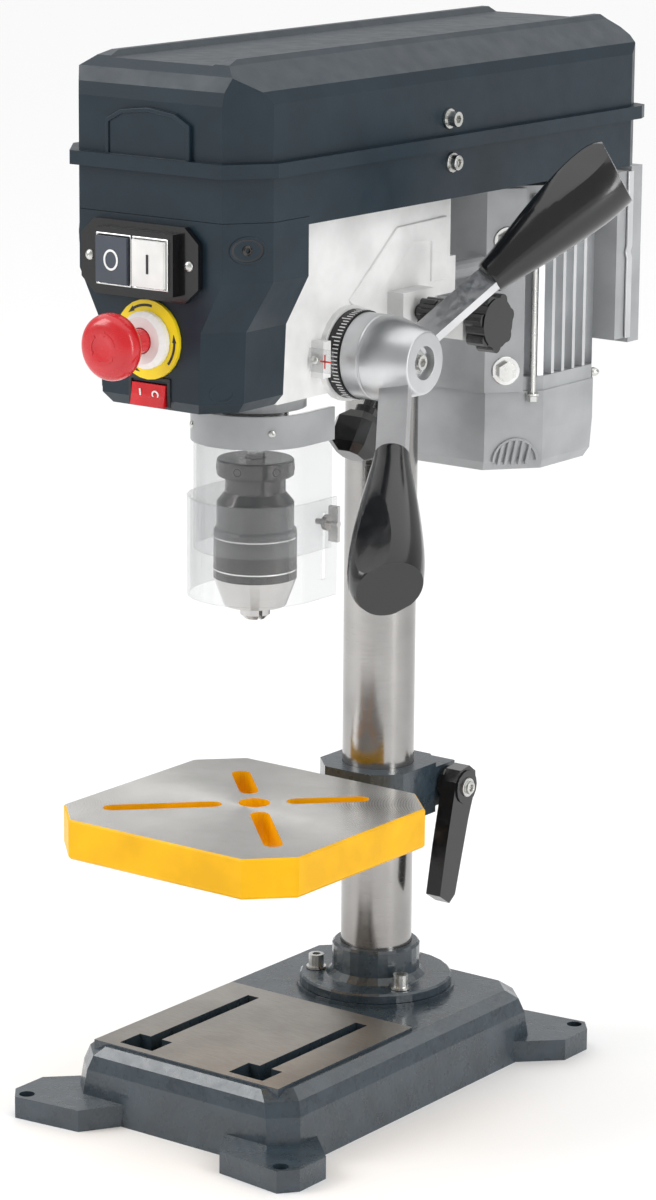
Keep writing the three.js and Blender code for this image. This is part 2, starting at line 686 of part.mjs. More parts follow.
function buildStops() {
  const group = groupAt(0, BOX_FRONT, ESTOP_Z);
  addTo(group, "estop_disc", alongY(ring(23.5, 8, -2.6, -GAP, 26)), yellowPlastic);
  addTo(group, "estop_collar", alongY(lathe([
    [7.9, -9], [14, -9], [17, -6], [17, -2.9], [7.9, -2.9], [7.9, -9],
  ], 20)), palePlastic);
  const head = lathe([
    [0, -44], [13, -44], [17.6, -42.4], [19.7, -39], [19.7, -31],
    [17.6, -28], [10, -26], [7.4, -18], [7.4, 10], [0, 10],
  ], 20);
  addTo(group, "estop_button", alongY(head), redPlastic);
  const rocker = [[-222, 461.8], [-222, 474.8], [-232.4, 474.8], [-233.2, 468.3], [-234.6, 461.8]];
  add("light_rocker", prismX(rocker, -12.4, 12.4), redPlastic);
}

// ---- belt housing -------------------------------------------------------
function housingPlan(grow) {
  const half = 71.2 + grow;
  const front = BOX_FRONT - grow;
  const rear = HOUSING_REAR + grow;
  return [
    [-52.9 - grow * 0.6, front], [52.9 + grow * 0.6, front], [half, -206.6 - grow * 0.4], [half, rear - 12],
    [half - 3.5, rear - 3.5], [half - 12, rear], [-half + 12, rear], [-half + 3.5, rear - 3.5],
    [-half, rear - 12], [-half, -206.6 - grow * 0.4],
  ];
}

function buildTray() {
  const outer = prismZ(housingPlan(0), TRAY_FRONT_BOTTOM, TRAY_TOP);
  const lowPart = prismZ(housingPlan(0), TRAY_BOTTOM, TRAY_FRONT_BOTTOM + 1);
  const deep = lowPart.intersect(box(-90, 90, BOX_REAR, 200, 560, 580));
  const hollow = prismZ(housingPlan(-HOUSING_WALL), TRAY_FRONT_BOTTOM + 3.4, TRAY_TOP + 5);
  let tray = outer.add(deep).subtract(hollow);
  tray = tray.subtract(rod(17, 560, 590, 16).translate([0, SPINDLE_Y, 0]));
  tray = tray.subtract(box(-14, 14, MOTOR_Y - 16, MOTOR_Y + 22, 560, 590));
  add("belt_tray", tray, housingBlue);
}

function coverSection(inset) {
  const top = COVER_TOP - inset;
  const half = 71.2 - inset;
  return [
    [-half, 560], [half, 560], [half, 640], [half - 4, 647], [49, top - 3], [46 - inset * 0.3, top],
    [41, top], [37.5, top - 3.4], [-37.5, top - 3.4], [-41, top], [-46 + inset * 0.3, top], [-49, top - 3],
    [-half + 4, 647], [-half, 640],
  ];
}

function coverSide(inset) {
  const front = BOX_FRONT + inset;
  const rear = HOUSING_REAR - inset;
  const top = COVER_TOP - inset;
  return [
    [front, 560], [rear, 560], [rear, 648], [rear - 3, 656], [rear - 12, top], [front + 22, top],
    [front + 12, top - 2.6], [front + 5, top - 8.5], [front + 1, top - 17], [front, top - 25],
  ];
}

function coverShape(inset, bottom) {
  const plan = prismZ(housingPlan(-inset), bottom, COVER_TOP + 5);
  const section = prismY(coverSection(inset), -300, 300);
  return plan.intersect(section).intersect(prismX(coverSide(inset), -100, 100));
}

function buildCover() {
  const rim = prismZ(housingPlan(5), COVER_BOTTOM, COVER_RIM_TOP);
  const plate = [[-31, 604.8], [31, 604.8], [31, 627], [20, 633], [0, 635.4], [-20, 633], [-31, 627]];
  const badge = prismY(plate, BOX_FRONT - 1.6, BOX_FRONT + 2);
  let cover = join(coverShape(0, COVER_BOTTOM), rim, badge);
  cover = cover.subtract(coverShape(HOUSING_WALL, COVER_BOTTOM - 5));
  cover = cover.subtract(alongX(rod(2.8, 60, 80, 12)).translate([0, -33.7, 616.9]));
  add("belt_cover", cover, housingBlue);

  const lidScrew = socketScrew(4.6, 6, 2.4, 8).rotate([0, 90, 0]).translate([71.2 + GAP, -33.7, 616.9]);
  add("cover_screw", lidScrew, brightSteel);
}

// ---- drive --------------------------------------------------------------
function steppedPulley(radii, boreR) {
  const profile = [[boreR, 0]];
  radii.forEach((radius, index) => {
    const low = index * PULLEY_STEP_H;
    const floor = radius - 6;
    profile.push([radius, low], [radius, low + 2], [floor, low + 4.5]);
    profile.push([floor, low + 10], [radius, low + 12.5], [radius, low + PULLEY_STEP_H]);
  });
  profile.push([boreR, radii.length * PULLEY_STEP_H], [boreR, 0]);
  return lathe(profile, 18);
}

// The belt lies in the middle groove of both pulleys, which are equally wide there.
function beltSolid() {
  const middle = PULLEY_BOTTOM + PULLEY_STEP_H + PULLEY_STEP_H / 2;
  const outerR = PULLEY_STEPS[1] - 0.6;
  const innerR = PULLEY_STEPS[1] - 5.2;
  const loop = (radius, half) => {
    const end = rod(radius, middle - half, middle + half, 24);
    const ends = [SPINDLE_Y, MOTOR_Y].map((y) => end.translate([0, y, 0]));
    return join(...ends, box(-radius, radius, SPINDLE_Y, MOTOR_Y, middle - half, middle + half));
  };
  return loop(outerR, 2.4).subtract(loop(innerR, 5));
}

function buildDrive() {
  const spindlePulley = steppedPulley(PULLEY_STEPS, 7.3).translate([0, SPINDLE_Y, PULLEY_BOTTOM]);
  add("spindle_pulley", spindlePulley, satinAluminium);
  const motorPulley = steppedPulley([...PULLEY_STEPS].reverse(), 7.3).translate([0, MOTOR_Y, PULLEY_BOTTOM]);
  add("motor_pulley", motorPulley, satinAluminium);
  add("motor_shaft", rod(7, 470, 632, 14).translate([0, MOTOR_Y, 0]), brightSteel);
  add("v_belt", beltSolid(), beltRubber);
}

// ---- motor --------------------------------------------------------------
function motorPlan(inset) {
  const x = MOTOR_HALF_X - inset;
  const y = MOTOR_HALF_Y - inset;
  return chamferedOutline(-x, x, MOTOR_Y - y, MOTOR_Y + y, MOTOR_CHAMFER_X, MOTOR_CHAMFER_Y);
}

function finnedBody() {
  const z0 = MOTOR_LOWER_CAP_TOP + GAP;
  const z1 = MOTOR_UPPER_CAP_BOTTOM - GAP;
  let body = prismZ(motorPlan(9), z0, z1);
  for (let i = 0; i < 8; i += 1) {
    const y = MOTOR_Y - 42 + i * 12;
    body = body.add(box(-MOTOR_HALF_X, MOTOR_HALF_X, y - 1.6, y + 1.6, z0, z1));
  }
  for (let i = 0; i < 5; i += 1) {
    const x = -28 + i * 14;
    body = body.add(box(x - 1.6, x + 1.6, MOTOR_Y, MOTOR_Y + MOTOR_HALF_Y, z0, z1));
  }
  body = body.intersect(prismZ(motorPlan(0.8), z0 - 1, z1 + 1));
  return body.subtract(rod(9, 466, 560, 16).translate([0, MOTOR_Y, 0]));
}

function mountPlate() {
  const plan = [
    [-55.3, 77], [-38.9, 57], [38.9, 57], [55.3, 77],
    [52.7, 79.2], [37.28, 60.4], [-37.28, 60.4], [-52.7, 79.2],
  ];
  let plate = prismZ(plan, 432, 562);
  for (const side of [-1, 1]) {
    plate = plate.add(alongY(rod(6, 0, 62, 14)).translate([side * 35, -4, 514]));
    for (const z of WING_BOLT_HEIGHTS) {
      plate = plate.subtract(wingBolt(side, z, rod(3.6, -20, 20, 12)));
    }
  }
  return plate;
}

// A solid standing on z = 0, moved onto the outer face of a mounting plate wing.
function wingBolt(side, z, solid) {
  const turned = solid.rotate([90, 0, 0]).rotate([0, 0, side * WING_ANGLE]);
  return turned.translate([side * 47.7, 67.74, z]);
}

function buildMotor() {
  let lower = loft([
    { z: MOTOR_BOTTOM, points: motorPlan(4) },
    { z: MOTOR_BOTTOM + 6, points: motorPlan(1) },
    { z: MOTOR_BOTTOM + 26, points: motorPlan(0) },
    { z: 431.5, points: motorPlan(0) },
    { z: 431.7, points: motorPlan(0.8) },
    { z: MOTOR_LOWER_CAP_TOP, points: motorPlan(0.8) },
  ]);
  const upperCap = prismZ(motorPlan(0.8), MOTOR_UPPER_CAP_BOTTOM, MOTOR_TOP);
  const upper = upperCap.subtract(rod(9, 530, 570, 16).translate([0, MOTOR_Y, 0]));
  let fins = finnedBody();
  for (const side of [-1, 1]) {
    for (const z of WING_BOLT_HEIGHTS) {
      const bore = wingBolt(side, z, rod(3.6, -20, 20, 12));
      lower = lower.subtract(bore);
      fins = fins.subtract(bore);
    }
  }
  add("motor_lower_cap", lower, greyPaint);
  add("motor_body", fins, satinAluminium);
  add("motor_upper_cap", upper, greyPaint);
  add("motor_mount_plate", mountPlate(), greyPaint);
  WING_BOLT_HEIGHTS.forEach((z, index) => {
    const bolt = hexBolt(11, 5, 3.2, 14).translate([0, 0, GAP]);
    add(`motor_bolt_${index + 1}`, wingBolt(1, z, bolt), brightSteel);
  });

  const boxRear = MOTOR_Y + MOTOR_HALF_Y + GAP;
  const capBody = box(-58, 58, boxRear, boxRear + 14, 452, 562);
  const lid = box(-60, 60, boxRear + 13, boxRear + 26, 449, 565);
  add("terminal_box", capBody.add(lid), greyPaint);
}

// ---- chuck guard --------------------------------------------------------
// A U-shaped wall about the spindle axis, open to the rear.
function guardWall(outerR, thick, z0, z1) {
  const innerR = outerR - thick;
  const round = ring(outerR, innerR, z0, z1, 26).intersect(box(-80, 80, -80, 0.001, z0 - 1, z1 + 1));
  const left = box(-outerR, -innerR, 0, GUARD_BACK, z0, z1);
  const right = box(innerR, outerR, 0, GUARD_BACK, z0, z1);
  return join(round, left, right);
}

function buildGuard() {
  const collar = ring(31, QUILL_R + 0.8, 447.6, CASTING_BOTTOM - GAP, 24);
  const arm = box(-47, -24, 10, 33, 447.6, CASTING_BOTTOM - GAP).subtract(rod(QUILL_R + 4, 440, 470, 20));
  const hole = rod(3.4, 440, 470, 12).translate([GUARD_PIVOT_X, GUARD_PIVOT_Y, 0]);
  addTo(groupAt(0, SPINDLE_Y, 0), "guard_collar", join(collar, arm).subtract(hole), greyPaint);

  const band = guardWall(39.5, 1.5, 427, 447).add(box(-47, -38, 17, 33, 427, 447));
  const pin = rod(3, 446, CASTING_BOTTOM - GAP, 12).translate([GUARD_PIVOT_X, GUARD_PIVOT_Y, 0]);
  addTo(groupAt(0, SPINDLE_Y, 0), "guard_band", join(band, pin), greyPaint);

  const screwHole = alongX(rod(2.4, 30, 45, 12)).translate([0, GUARD_SCREW.y, GUARD_SCREW.z]);
  const upper = guardWall(37.7, 1.8, 360, 447).subtract(screwHole);
  addTo(groupAt(0, SPINDLE_Y, 0), "guard_upper_shield", upper, clearPlastic);

  let lower = guardWall(41.8, 2, 331, 392);
  lower = lower.subtract(box(36, 50, 12.5, 17.5, 342.5, 384));
  addTo(groupAt(0, SPINDLE_Y, 0), "guard_lower_shield", lower, clearPlastic);

  const screw = join(rod(2, 35.6, 52, 12), rod(5, 42.1, 45, 14), box(-11, 11, -1.2, 1.2, 45, 52));
  const stud = alongX(screw).translate([0, GUARD_SCREW.y, GUARD_SCREW.z]);
  addTo(groupAt(0, SPINDLE_Y, 0), "guard_wing_screw", stud, brightSteel);
}

// ---- whole machine ------------------------------------------------------
buildBase();
buildColumn();
buildTable();
buildTableArm();
buildClampLever();
buildCasting();
buildHeadKnobs();
buildQuill();
buildChuck();
buildFeed();
buildSwitchBox();
buildStops();
buildTray();
buildCover();
buildDrive();
buildMotor();
buildGuard();

export default drillPress;
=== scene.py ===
import json
import math

import bmesh
import bpy
from mathutils import Matrix, Vector

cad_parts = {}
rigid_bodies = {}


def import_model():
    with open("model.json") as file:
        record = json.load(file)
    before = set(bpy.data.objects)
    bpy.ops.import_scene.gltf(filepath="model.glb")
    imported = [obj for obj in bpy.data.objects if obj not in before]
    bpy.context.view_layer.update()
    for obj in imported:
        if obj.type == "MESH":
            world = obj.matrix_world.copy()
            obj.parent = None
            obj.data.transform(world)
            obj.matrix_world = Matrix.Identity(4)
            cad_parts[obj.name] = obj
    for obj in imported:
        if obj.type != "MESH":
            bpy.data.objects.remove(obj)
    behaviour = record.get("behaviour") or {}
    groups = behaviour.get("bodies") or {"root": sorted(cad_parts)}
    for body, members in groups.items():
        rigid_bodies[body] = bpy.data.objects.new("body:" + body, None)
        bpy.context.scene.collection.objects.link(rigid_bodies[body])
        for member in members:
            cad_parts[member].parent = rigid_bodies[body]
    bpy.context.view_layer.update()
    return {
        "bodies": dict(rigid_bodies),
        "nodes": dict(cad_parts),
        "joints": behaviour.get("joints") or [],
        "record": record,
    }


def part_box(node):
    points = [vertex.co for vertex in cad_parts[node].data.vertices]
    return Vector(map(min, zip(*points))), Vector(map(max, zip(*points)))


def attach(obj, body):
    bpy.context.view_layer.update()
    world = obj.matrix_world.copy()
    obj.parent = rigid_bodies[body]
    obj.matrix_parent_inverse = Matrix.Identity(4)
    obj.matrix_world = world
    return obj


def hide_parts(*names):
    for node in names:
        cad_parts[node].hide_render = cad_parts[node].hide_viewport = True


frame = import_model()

MM = 0.001


# ---- places taken from the CAD nodes (millimetres) ---------------------------
def corners_mm(node):
    """The low and high corners of a CAD node's box."""
    return [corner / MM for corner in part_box(node)]


def centre_mm(node):
    low, high = corners_mm(node)
    return (low + high) / 2


SPINDLE_Y = centre_mm("spindle").y
TABLE_TOP = corners_mm("table_plate")[1].z
PAD_TOP = 46.7
FEED_Y = centre_mm("feed_shaft").y
FEED_Z = centre_mm("feed_shaft").z
BOX_FRONT = corners_mm("switch_box")[0].y
SWITCH_Z = centre_mm("switch_plate").z
STOP_X = centre_mm("stop_button").x
START_X = centre_mm("start_button").x
BUTTON_FACE = corners_mm("stop_button")[0].y
ESTOP_Z = centre_mm("estop_button").z
ROCKER_Z = centre_mm("light_rocker").z


# ---- materials ------------------------------------------------------------
class Look:
    """One node material, built step by step."""

    def __init__(self, name, color, roughness, metallic=0.0, coat=0.0, coat_roughness=0.1, specular=0.5):
        self.material = bpy.data.materials.new(name)
        self.material.use_nodes = True
        self.nodes = self.material.node_tree.nodes
        self.links = self.material.node_tree.links
        self.shader = self.nodes["Principled BSDF"]
        self.shader.inputs["Base Color"].default_value = (*color, 1)
        self.shader.inputs["Roughness"].default_value = roughness
        self.shader.inputs["Metallic"].default_value = metallic
        self.shader.inputs["Coat Weight"].default_value = coat
        self.shader.inputs["Coat Roughness"].default_value = coat_roughness
        self.shader.inputs["Specular IOR Level"].default_value = specular
        self.color = color
        self.roughness = roughness
        self.last_bump = None

    def place(self, stretch=(1, 1, 1), centre=(0, 0, 0)):
        coords = self.nodes.new("ShaderNodeTexCoord")
        mapping = self.nodes.new("ShaderNodeMapping")
        mapping.inputs["Location"].default_value = [-c * s for c, s in zip(centre, stretch)]
        mapping.inputs["Scale"].default_value = stretch
        self.links.new(coords.outputs["Object"], mapping.inputs["Vector"])
        return mapping.outputs["Vector"]

    def noise(self, scale, detail=2.0, stretch=(1, 1, 1), distortion=0.0):
        texture = self.nodes.new("ShaderNodeTexNoise")
        texture.inputs["Scale"].default_value = scale
        texture.inputs["Detail"].default_value = detail
        texture.inputs["Distortion"].default_value = distortion
        self.links.new(self.place(stretch), texture.inputs["Vector"])
        return texture.outputs["Fac"]

    def cells(self, scale, smooth=0.6):
        texture = self.nodes.new("ShaderNodeTexVoronoi")
        texture.feature = "SMOOTH_F1"
        texture.inputs["Scale"].default_value = scale
        texture.inputs["Smoothness"].default_value = smooth
        self.links.new(self.place(), texture.inputs["Vector"])
        return texture.outputs["Distance"]

    def ramp(self, value, low, high, colors):
        ramp = self.nodes.new("ShaderNodeValToRGB")
        ramp.color_ramp.elements[0].position = low
        ramp.color_ramp.elements[1].position = high
        for element, color in zip(ramp.color_ramp.elements, colors):
            element.color = (*color, 1)
        self.links.new(value, ramp.inputs["Fac"])
        return ramp.outputs["Color"]

    def tint(self, value, darker, lighter, low=0.35, high=0.65):
        """Varies the base colour between two multiples of itself."""
        colors = [tuple(min(1, c * k) for c in self.color) for k in (darker, lighter)]
        self.links.new(self.ramp(value, low, high, colors), self.shader.inputs["Base Color"])
        return self

    def gloss(self, value, change, low=0.3, high=0.7):
        """Varies the roughness about its own value."""
        spread = self.nodes.new("ShaderNodeMapRange")
        spread.inputs["From Min"].default_value = low
        spread.inputs["From Max"].default_value = high
        spread.inputs["To Min"].default_value = max(0.02, self.roughness - change)
        spread.inputs["To Max"].default_value = min(1, self.roughness + change)
        self.links.new(value, spread.inputs["Value"])
        self.links.new(spread.outputs["Result"], self.shader.inputs["Roughness"])
        return self

    def bump(self, value, strength, depth_mm):
        node = self.nodes.new("ShaderNodeBump")
        node.inputs["Strength"].default_value = strength
        node.inputs["Distance"].default_value = depth_mm * MM
        self.links.new(value, node.inputs["Height"])
        if self.last_bump is not None:
            self.links.new(self.last_bump, node.inputs["Normal"])
        self.last_bump = node.outputs["Normal"]
        self.links.new(self.last_bump, self.shader.inputs["Normal"])
        return self


def paint(name, color, roughness, grain_scale, grain_mm, coat=0.0, specular=0.5):
    """Sprayed paint with an orange-peel skin."""
    look = Look(name, color, roughness, coat=coat, coat_roughness=0.12, specular=specular)
    look.tint(look.noise(30, 3), 0.9, 1.1)
    look.gloss(look.noise(90, 2), 0.05)
    look.bump(look.noise(grain_scale, 2), 0.35, grain_mm)
    return look


def hammered(name, color):
    """Thick gloss paint over a sand casting."""
    look = Look(name, color, 0.3, coat=0.5, coat_roughness=0.1)
    look.tint(look.noise(60, 4), 0.82, 1.2)
    look.gloss(look.noise(120, 2), 0.08)
    look.bump(look.noise(90, 2), 0.35, 1.2)
    look.bump(look.cells(330), 0.3, 0.5)
    return look


def steel(name, color, roughness, stretch=(1, 1, 60), scale=60):
    """Turned or ground steel with fine lines across the stretched axis."""
    look = Look(name, color, roughness, metallic=1.0)
    lines = look.noise(scale, 3, stretch)
    look.tint(look.noise(18, 3), 0.86, 1.1)
    look.gloss(lines, 0.08)
    look.bump(lines, 0.12, 0.05)
    return look


def milled(name, color, roughness, centre):
    """A face turned in rings about a centre."""
    look = Look(name, color, roughness, metallic=1.0)
    rings = look.nodes.new("ShaderNodeTexWave")
    rings.wave_type = "RINGS"
    rings.rings_direction = "Z"
    rings.inputs["Scale"].default_value = 330
    rings.inputs["Distortion"].default_value = 1.2
    rings.inputs["Detail"].default_value = 3
    look.links.new(look.place(centre=centre), rings.inputs["Vector"])
    look.shader.inputs["Anisotropic"].default_value = 0.75
    tangent = look.nodes.new("ShaderNodeTangent")
    tangent.direction_type = "RADIAL"
    tangent.axis = "Z"
    look.links.new(tangent.outputs["Tangent"], look.shader.inputs["Tangent"])
    look.gloss(rings.outputs["Fac"], 0.07, 0.2, 0.8)
    look.bump(rings.outputs["Fac"], 0.1, 0.03)
    look.tint(look.noise(25, 4), 0.9, 1.08)
    return look


def moulded(name, color, roughness, grain=0.03, coat=0.0):
    """Moulded plastic with a faint skin."""
    look = Look(name, color, roughness, coat=coat, coat_roughness=0.06)
    look.tint(look.noise(40, 2), 0.92, 1.08)
    look.gloss(look.noise(160, 2), 0.04)
    look.bump(look.noise(600, 2), 0.2, grain)
    return look


def clear(name):
    """Clear sheet plastic, denser where it is seen edge-on."""
    look = Look(name, (0.52, 0.54, 0.55), 0.06, specular=0.6)
    edge = look.nodes.new("ShaderNodeLayerWeight")
    edge.inputs["Blend"].default_value = 0.35
    spread = look.nodes.new("ShaderNodeMapRange")
    spread.inputs["To Min"].default_value = 0.07
    spread.inputs["To Max"].default_value = 0.42
    look.links.new(edge.outputs["Facing"], spread.inputs["Value"])
    look.links.new(spread.outputs["Result"], look.shader.inputs["Alpha"])
    look.bump(look.noise(25, 2), 0.05, 0.3)
    return look


HAMMERED = hammered("hammered_blue_paint", (0.030, 0.046, 0.060)).material
HOUSING = paint("housing_paint", (0.011, 0.023, 0.034), 0.38, 620, 0.10, coat=0.05, specular=0.3).material
CASTING = paint("casting_paint", (0.84, 0.84, 0.83), 0.42, 480, 0.10).material
GREY = paint("silver_grey_paint", (0.36, 0.37, 0.38), 0.42, 520, 0.14, coat=0.1).material
YELLOW = paint("yellow_paint", (0.91, 0.47, 0.0), 0.42, 300, 0.16, specular=0.25).material
GROUND = steel("ground_column_steel", (0.36, 0.35, 0.34), 0.2, (1, 1, 30), 90).material
BRIGHT = steel("bright_steel", (0.54, 0.53, 0.52), 0.2).material
ZINC = steel("zinc_screws", (0.62, 0.62, 0.60), 0.3, (1, 1, 1), 200).material
DARK = steel("dark_polished_steel", (0.075, 0.07, 0.068), 0.18, (0.6, 0.6, 60), 30).material
ALUMINIUM = steel("satin_aluminium", (0.60, 0.61, 0.62), 0.36, (30, 1, 1), 120).material
FIN = steel("extruded_aluminium", (0.74, 0.75, 0.76), 0.4, (1, 1, 0.05), 300).material
LEVER = steel("satin_lever", (0.62, 0.62, 0.63), 0.38, (1, 1, 1), 260).material
TABLE_CENTRE = (0, SPINDLE_Y * MM, TABLE_TOP * MM)
TABLE_FACE = milled("turned_table_face", (0.56, 0.55, 0.53), 0.34, TABLE_CENTRE).material
PAD_FACE = steel("milled_base_face", (0.30, 0.285, 0.265), 0.42, (1, 8, 1), 160).material
BLACK = moulded("black_gloss_plastic", (0.006, 0.006, 0.007), 0.2, 0.05, coat=0.25).material
MATT_BLACK = moulded("black_matt_plastic", (0.016, 0.016, 0.018), 0.5, 0.08).material
DARK_GREY = moulded("dark_grey_plastic", (0.055, 0.065, 0.085), 0.4).material
PALE = moulded("pale_plastic", (0.80, 0.80, 0.78), 0.32).material
DISC = moulded("yellow_plastic", (0.88, 0.66, 0.01), 0.38).material
RED = moulded("red_plastic", (0.60, 0.010, 0.016), 0.26, 0.03, coat=0.3).material
RUBBER = moulded("belt_rubber", (0.02, 0.02, 0.02), 0.75, 0.1).material
RED_MARK = moulded("red_mark", (0.75, 0.05, 0.03), 0.4).material
WHITE_MARK = moulded("white_mark", (0.85, 0.85, 0.84), 0.4).material
CHROME = steel("chrome_trim", (0.78, 0.78, 0.77), 0.14, (1, 1, 1), 120).material
CLEAR = clear("clear_shield").material

NODE_LOOKS = {
    "base_casting": HAMMERED, "column_flange": HAMMERED, "table_arm": HAMMERED,
    "belt_tray": HOUSING, "belt_cover": HOUSING, "switch_box": HOUSING,
    "head_casting": CASTING, "column_tube": GROUND,
    "flange_bolt_1": ZINC, "flange_bolt_2": ZINC, "flange_bolt_3": ZINC,
    "table_tilt_bolt": ZINC, "table_clamp_stud": ZINC, "table_ring": BRIGHT,
    "quill": BRIGHT, "spindle": BRIGHT, "chuck_sleeve": DARK, "chuck_body": DARK,
    "chuck_jaw_1": BRIGHT, "chuck_jaw_2": BRIGHT, "chuck_jaw_3": BRIGHT,
    "feed_shaft": BRIGHT, "hub_screw": ZINC, "cover_screw": ZINC, "motor_shaft": BRIGHT,
    "motor_bolt_1": ZINC, "motor_bolt_2": ZINC, "guard_wing_screw": BRIGHT,
    "feed_hub": ALUMINIUM, "feed_lever_1": LEVER, "feed_lever_2": LEVER,
    "spindle_pulley": ALUMINIUM, "motor_pulley": ALUMINIUM, "motor_body": FIN,
    "motor_lower_cap": GREY, "motor_upper_cap": GREY, "motor_mount_plate": GREY,
    "guard_collar": GREY, "guard_band": GREY, "terminal_box": GREY,
    "table_plate": YELLOW, "table_clamp_lever": BLACK, "head_clamp_knob": BLACK,
    "tension_knob": BLACK, "motor_lock_knob": BLACK, "depth_dial": MATT_BLACK,
    "feed_grip_1": BLACK, "feed_grip_2": BLACK, "switch_plate": BLACK,
    "return_spring_cap": MATT_BLACK, "stop_button": DARK_GREY, "start_button": PALE,
    "estop_collar": PALE, "estop_disc": DISC, "estop_button": RED, "light_rocker": RED,
    "v_belt": RUBBER, "guard_upper_shield": CLEAR, "guard_lower_shield": CLEAR, "depth_pointer": CLEAR,
}

BEVELS_MM = {
    "base_casting": 3.2, "column_flange": 1.4, "table_arm": 2.4, "belt_tray": 2.0, "belt_cover": 3.4,
    "switch_box": 3.6, "head_casting": 2.8, "table_plate": 2.2, "table_clamp_lever": 2.4,
    "head_clamp_knob": 1.2, "tension_knob": 0.6, "motor_lock_knob": 0.8, "motor_lower_cap": 3.6,
    "motor_upper_cap": 2.4, "motor_mount_plate": 0.8, "terminal_box": 3.6, "switch_plate": 0.8,
    "stop_button": 0.9, "start_button": 0.9, "estop_collar": 0.5, "estop_button": 0.8, "estop_disc": 0.3,
    "light_rocker": 0.5, "feed_hub": 0.5, "feed_lever_1": 0.7, "feed_lever_2": 0.7, "depth_dial": 0.3,
    "guard_collar": 0.6, "guard_band": 0.35, "guard_upper_shield": 0.3, "guard_lower_shield": 0.4,
    "chuck_body": 0.4, "chuck_sleeve": 0.4, "chuck_jaw_1": 0.3, "chuck_jaw_2": 0.3, "chuck_jaw_3": 0.3,
    "flange_bolt_1": 0.4, "flange_bolt_2": 0.4, "flange_bolt_3": 0.4, "cover_screw": 0.4, "hub_screw": 0.4,
    "motor_bolt_1": 0.4, "motor_bolt_2": 0.4, "table_tilt_bolt": 0.5, "table_clamp_stud": 0.5,
    "return_spring_cap": 0.8, "guard_wing_screw": 0.4, "depth_pointer": 0.3, "motor_body": 0.3,
}


def smooth(obj, degrees=34):
    for polygon in obj.data.polygons:
        polygon.use_smooth = True
    obj.data.set_sharp_from_angle(angle=math.radians(degrees))


def bevel(obj, width_mm, segments=3):
    modifier = obj.modifiers.new("edges", "BEVEL")
    modifier.width = width_mm * MM
    modifier.segments = segments
    modifier.limit_method = "ANGLE"
    modifier.angle_limit = math.radians(34)
    modifier.harden_normals = True
    modifier.use_clamp_overlap = True
    modifier.miter_outer = "MITER_ARC"


def dress_nodes():
    for name, node in frame["nodes"].items():
        node.data.materials.clear()
        node.data.materials.append(NODE_LOOKS[name])
        smooth(node)
        if name in BEVELS_MM:
            bevel(node, BEVELS_MM[name])


def face_material(node, material, test):
    """Gives the faces that pass the test a second material."""
    mesh = frame["nodes"][node].data
    mesh.materials.append(material)
    slot = len(mesh.materials) - 1
    for polygon in mesh.polygons:
        if test(polygon):
            polygon.material_index = slot


CHUCK_NOSE_TOP = 341.5


def machined_faces():
    face_material("table_plate", TABLE_FACE, lambda p: p.center.z > (TABLE_TOP - 0.2) * MM)
    face_material("base_casting", PAD_FACE,
                  lambda p: abs(p.center.z / MM - PAD_TOP) < 0.1 and p.normal.z > 0.9)
    face_material("chuck_sleeve", BRIGHT, lambda p: p.center.z < CHUCK_NOSE_TOP * MM)


# ---- shapes for the detail pieces (millimetres) -----------------------------
# Both turns stand an outline upright: SIDE faces +X, FRONT faces -Y.
SIDE = Matrix(((0, 0, 1, 0), (1, 0, 0, 0), (0, 1, 0, 0), (0, 0, 0, 1)))
FRONT = Matrix(((1, 0, 0, 0), (0, 0, -1, 0), (0, 1, 0, 0), (0, 0, 0, 1)))


def at(x, y, z, turn=None):
    place = Matrix.Translation((x, y, z))
    return place if turn is None else place @ turn


def facing(x, y, z, normal):
    """Local Z points along the normal, local Y points up."""
    out = Vector(normal).normalized()
    across = Vector((0, 0, 1)).cross(out).normalized()
    up = out.cross(across)
    return Matrix.Translation((x, y, z)) @ Matrix((across, up, out)).transposed().to_4x4()


def turned(mesh, profile, place, segments=40):
    """Adds a solid of revolution about local Z; the profile is (radius, height)."""
    rings = []
    for radius, height in profile:
        count = 1 if radius == 0 else segments
        ring = []
        for i in range(count):
            angle = 2 * math.pi * i / count
            point = Vector((radius * math.cos(angle), radius * math.sin(angle), height))
            ring.append(mesh.verts.new(place @ point))
        rings.append(ring)
    for lower, upper in zip(rings, rings[1:]):
        for i in range(segments):
            j = i + 1
            corners = [lower[i % len(lower)], lower[j % len(lower)]]
            corners += [upper[j % len(upper)], upper[i % len(upper)]]
            corners = list(dict.fromkeys(corners))
            if len(corners) > 2:
                mesh.faces.new(corners)


def slab(mesh, outline, low, high, place):
    """Adds a flat plate with the given outline, from low to high along local Z."""
    bottom = [mesh.verts.new(place @ Vector((x, y, low))) for x, y in outline]
    top = [mesh.verts.new(place @ Vector((x, y, high))) for x, y in outline]
    mesh.faces.new(bottom)
    mesh.faces.new(top)
    for i in range(len(outline)):
        j = (i + 1) % len(outline)
        mesh.faces.new((bottom[i], bottom[j], top[j], top[i]))


def rim(mesh, outer, inner, low, high, place):
    """Adds a closed frame between two outlines with equal point counts."""
    loops = []
    for outline in (outer, inner):
        for height in (low, high):
            loops.append([mesh.verts.new(place @ Vector((x, y, height))) for x, y in outline])
    order = [loops[0], loops[1], loops[3], loops[2]]
    for first, second in zip(order, order[1:] + order[:1]):
        for i in range(len(outer)):
            j = (i + 1) % len(outer)
            mesh.faces.new((first[i], first[j], second[j], second[i]))


def on_circle(radius, degrees):
    angle = math.radians(degrees)
    return radius * math.cos(angle), radius * math.sin(angle)


def oval(half_x, half_y, count=32):
    angles = [2 * math.pi * i / count for i in range(count)]
    return [(half_x * math.cos(angle), half_y * math.sin(angle)) for angle in angles]


